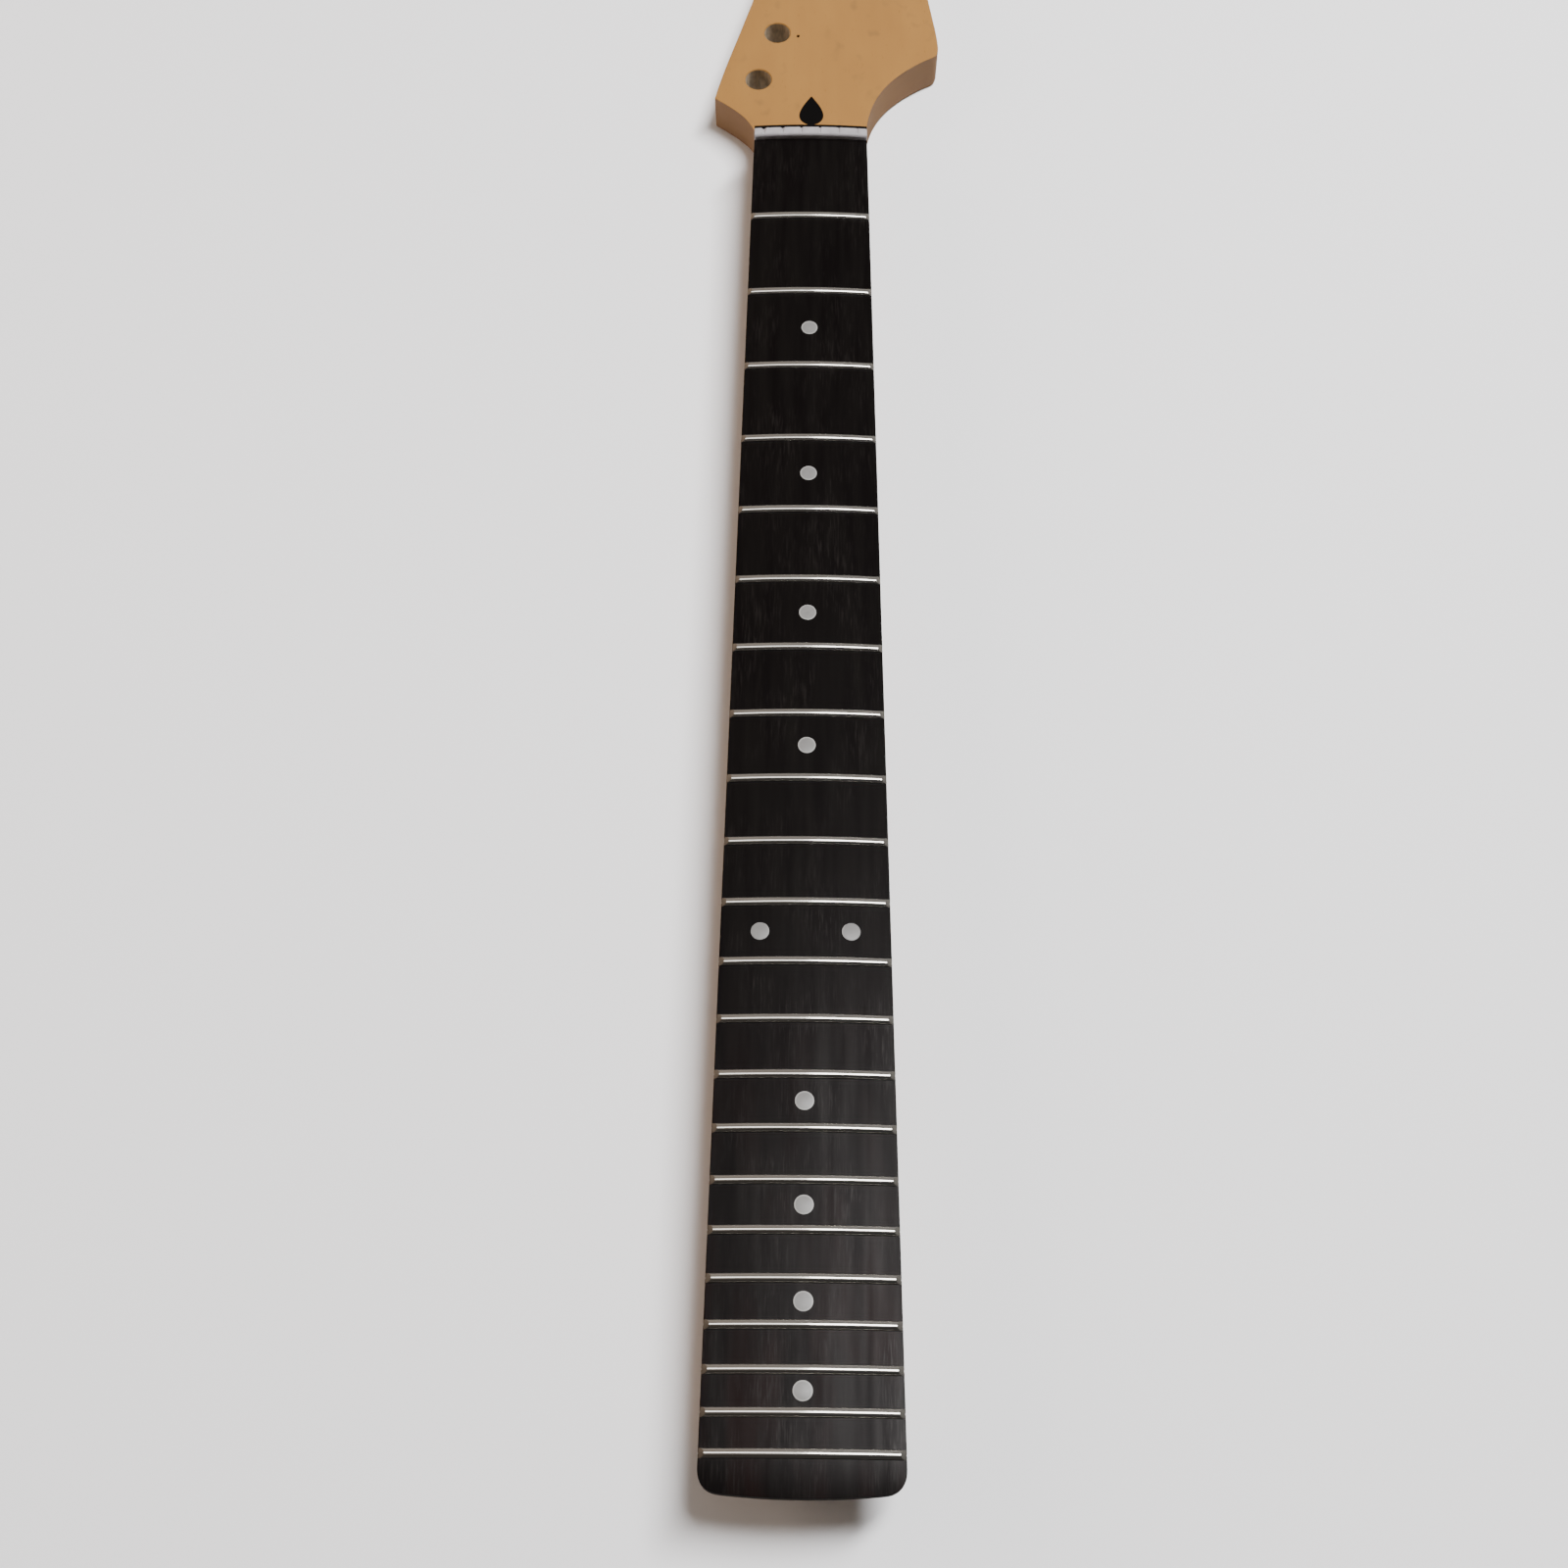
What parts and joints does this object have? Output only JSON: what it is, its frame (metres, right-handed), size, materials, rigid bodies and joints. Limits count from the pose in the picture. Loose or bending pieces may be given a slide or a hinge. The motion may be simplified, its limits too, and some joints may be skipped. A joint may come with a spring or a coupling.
{
  "type": "electric guitar neck",
  "caption": "Bolt-on electric guitar neck: maple blank with a six-in-line headstock, dark radiused fretboard, fret wires, dot inlays, string nut and truss rod.",
  "frame": {"origin": "centre of the four-screw pattern on the heel's flat back face", "axes": "+Z out of the fretboard, +Y along the neck to the headstock, +X to the treble side"},
  "size_m": [0.0851, 0.6593, 0.0281],
  "materials": {
    "maple": "satin amber-tinted clear coat over sanded maple",
    "rosewood": "oiled open-pored dark rosewood",
    "fret_wire": "polished nickel silver wire",
    "nut_plastic": "off-white polished plastic",
    "dot_plastic": "grey-white plastic, sanded flush",
    "black_wood": "black-dyed hardwood, sanded flush",
    "walnut": "walnut under satin clear coat",
    "steel": "plain machined steel"
  },
  "bodies": {
    "neck": {"neck": "maple", "fretboard": "rosewood", "fret_01": "fret_wire", "fret_02": "fret_wire", "fret_03": "fret_wire", "fret_04": "fret_wire", "fret_05": "fret_wire", "fret_06": "fret_wire", "fret_07": "fret_wire", "fret_08": "fret_wire", "fret_09": "fret_wire", "fret_10": "fret_wire", "fret_11": "fret_wire", "fret_12": "fret_wire", "fret_13": "fret_wire", "fret_14": "fret_wire", "fret_15": "fret_wire", "fret_16": "fret_wire", "fret_17": "fret_wire", "fret_18": "fret_wire", "fret_19": "fret_wire", "fret_20": "fret_wire", "fret_21": "fret_wire", "fret_22": "fret_wire", "nut": "nut_plastic", "inlay_dot_03": "dot_plastic", "inlay_dot_05": "dot_plastic", "inlay_dot_07": "dot_plastic", "inlay_dot_09": "dot_plastic", "inlay_dot_15": "dot_plastic", "inlay_dot_17": "dot_plastic", "inlay_dot_19": "dot_plastic", "inlay_dot_21": "dot_plastic", "inlay_dot_12_bass": "dot_plastic", "inlay_dot_12_treble": "dot_plastic", "side_dot_03": "dot_plastic", "side_dot_05": "dot_plastic", "side_dot_07": "dot_plastic", "side_dot_09": "dot_plastic", "side_dot_15": "dot_plastic", "side_dot_17": "dot_plastic", "side_dot_19": "dot_plastic", "side_dot_21": "dot_plastic", "side_dot_12_nut_side": "dot_plastic", "side_dot_12_heel_side": "dot_plastic", "teardrop_plug": "black_wood", "skunk_stripe": "walnut", "truss_rod": "steel", "rod_anchor": "steel", "rod_ferrule": "steel"},
    "thrust_washer": {"thrust_washer": "steel"},
    "adjusting_nut": {"adjusting_nut": "steel"}
  },
  "joints": [
    {"name": "nut_travel", "type": "slide", "parent": "neck", "child": "thrust_washer", "axis": [0, -1, 0], "range_m": [0, 0.00198]},
    {"name": "nut_turn", "type": "hinge", "parent": "thrust_washer", "child": "adjusting_nut", "pos_m": [0, -0.0317, 0.0105], "axis": [0, -1, 0], "range_deg": [0, 900]}
  ],
  "couplings": [
    {"joint": "nut_turn", "follows": "nut_travel", "rad_per_m": 7915.8}
  ]
}
